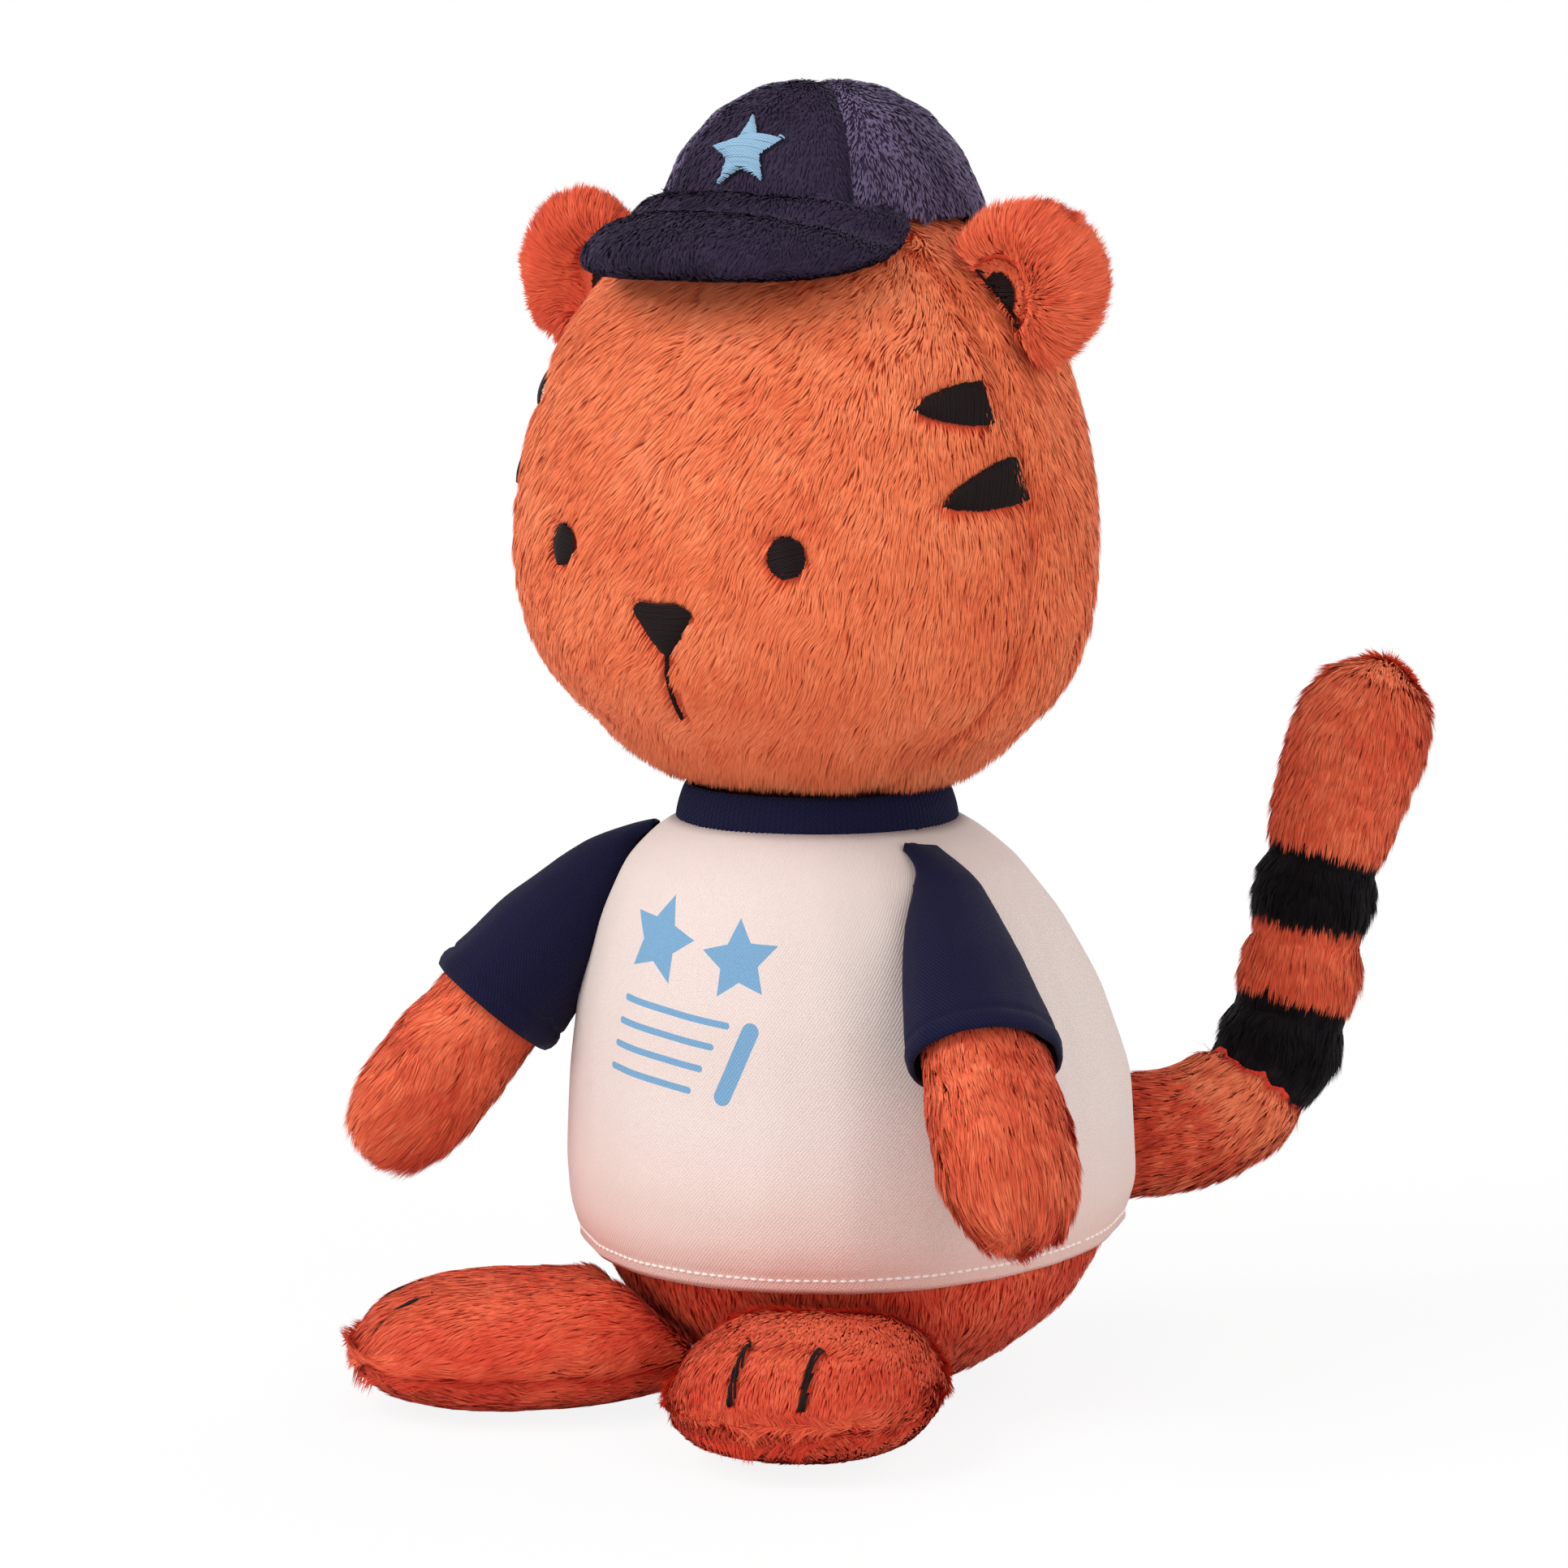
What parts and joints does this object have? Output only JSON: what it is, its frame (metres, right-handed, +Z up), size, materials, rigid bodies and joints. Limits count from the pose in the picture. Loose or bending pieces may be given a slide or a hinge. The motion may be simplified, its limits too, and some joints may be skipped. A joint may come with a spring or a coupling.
{
  "type": "plush tiger toy",
  "caption": "Seated plush tiger in a raglan shirt and a peaked cap, with a turning head, arms that lift, feet that drop and a tail that swings and curls.",
  "frame": {"origin": "middle of the flat seat, on the surface the toy sits on", "axes": "+Z up through the head; the face looks along -Y; the toy's left side is at +X"},
  "size_m": [0.1928, 0.2724, 0.31],
  "materials": {
    "orange_plush": "short dense plush pile",
    "black_plush": "short dense plush pile",
    "stuffing": "loose fibre",
    "bean_cloth": "plain woven bag",
    "white_knit": "single jersey knit",
    "navy_knit": "single jersey and rib knit",
    "cap_plush": "very short plush pile",
    "black_thread": "satin stitch",
    "blue_thread": "satin stitch"
  },
  "bodies": {
    "torso": {"torso_skin": "orange_plush", "torso_stuffing": "stuffing", "bean_bag": "bean_cloth", "shirt_front": "white_knit", "shirt_back": "white_knit", "shirt_collar": "navy_knit"},
    "head": {"face_left": "orange_plush", "face_right": "orange_plush", "head_back": "orange_plush", "head_stuffing": "stuffing", "ear_left": "orange_plush", "ear_right": "orange_plush", "ear_patch_left": "black_thread", "ear_patch_right": "black_thread", "eye_left": "black_thread", "eye_right": "black_thread", "cheek_stripe_left_1": "black_thread", "cheek_stripe_left_2": "black_thread", "cheek_stripe_right_1": "black_thread", "cheek_stripe_right_2": "black_thread", "nose": "black_thread", "mouth_line": "black_thread", "cap_crown_left": "cap_plush", "cap_crown_back": "cap_plush", "cap_crown_right": "cap_plush", "cap_crown_front": "cap_plush", "cap_crown_pad": "stuffing", "cap_brim": "cap_plush", "cap_emblem": "blue_thread"},
    "arm_left": {"arm_skin_left": "orange_plush", "arm_stuffing_left": "stuffing", "sleeve_left": "navy_knit"},
    "arm_right": {"arm_skin_right": "orange_plush", "arm_stuffing_right": "stuffing", "sleeve_right": "navy_knit"},
    "foot_left": {"foot_upper_left": "orange_plush", "foot_sole_left": "orange_plush", "foot_stuffing_left": "stuffing", "toe_stitch_left_1": "black_thread", "toe_stitch_left_2": "black_thread"},
    "foot_right": {"foot_upper_right": "orange_plush", "foot_sole_right": "orange_plush", "foot_stuffing_right": "stuffing", "toe_stitch_right_1": "black_thread", "toe_stitch_right_2": "black_thread"},
    "tail_base": {"tail_base": "orange_plush", "tail_base_stuffing": "stuffing"},
    "tail_end": {"tail_band_1": "black_plush", "tail_middle": "orange_plush", "tail_band_2": "black_plush", "tail_tip": "orange_plush", "tail_stuffing": "stuffing"}
  },
  "joints": [
    {"name": "head_turn", "type": "hinge", "parent": "torso", "child": "head", "pos_m": [0, -0.0147, 0.1453], "axis": [0, 0, 1], "range_deg": [-30, 30], "stiffness_Nm_per_rad": 0.03},
    {"name": "arm_lift_left", "type": "hinge", "parent": "torso", "child": "arm_left", "pos_m": [0.037, -0.026, 0.136], "axis": [0, -1, 0], "range_deg": [0, 60]},
    {"name": "arm_lift_right", "type": "hinge", "parent": "torso", "child": "arm_right", "pos_m": [-0.037, -0.026, 0.136], "axis": [0, 1, 0], "range_deg": [0, 60]},
    {"name": "foot_drop_left", "type": "hinge", "parent": "torso", "child": "foot_left", "pos_m": [0.00896, -0.02758, 0], "axis": [-0.9511, -0.309, 0], "range_deg": [-70, 0]},
    {"name": "foot_drop_right", "type": "hinge", "parent": "torso", "child": "foot_right", "pos_m": [-0.02086, -0.02015, 0], "axis": [-0.6947, 0.7193, 0], "range_deg": [-70, 0]},
    {"name": "tail_swing", "type": "hinge", "parent": "torso", "child": "tail_base", "pos_m": [0, 0.0668, 0.0435], "axis": [0, 0, 1], "range_deg": [-8, 60], "stiffness_Nm_per_rad": 0.02},
    {"name": "tail_curl", "type": "hinge", "parent": "tail_base", "child": "tail_end", "pos_m": [0.04182, 0.1288, 0.05975], "axis": [0.829, -0.5592, 0], "range_deg": [-12, 12], "stiffness_Nm_per_rad": 0.1}
  ]
}
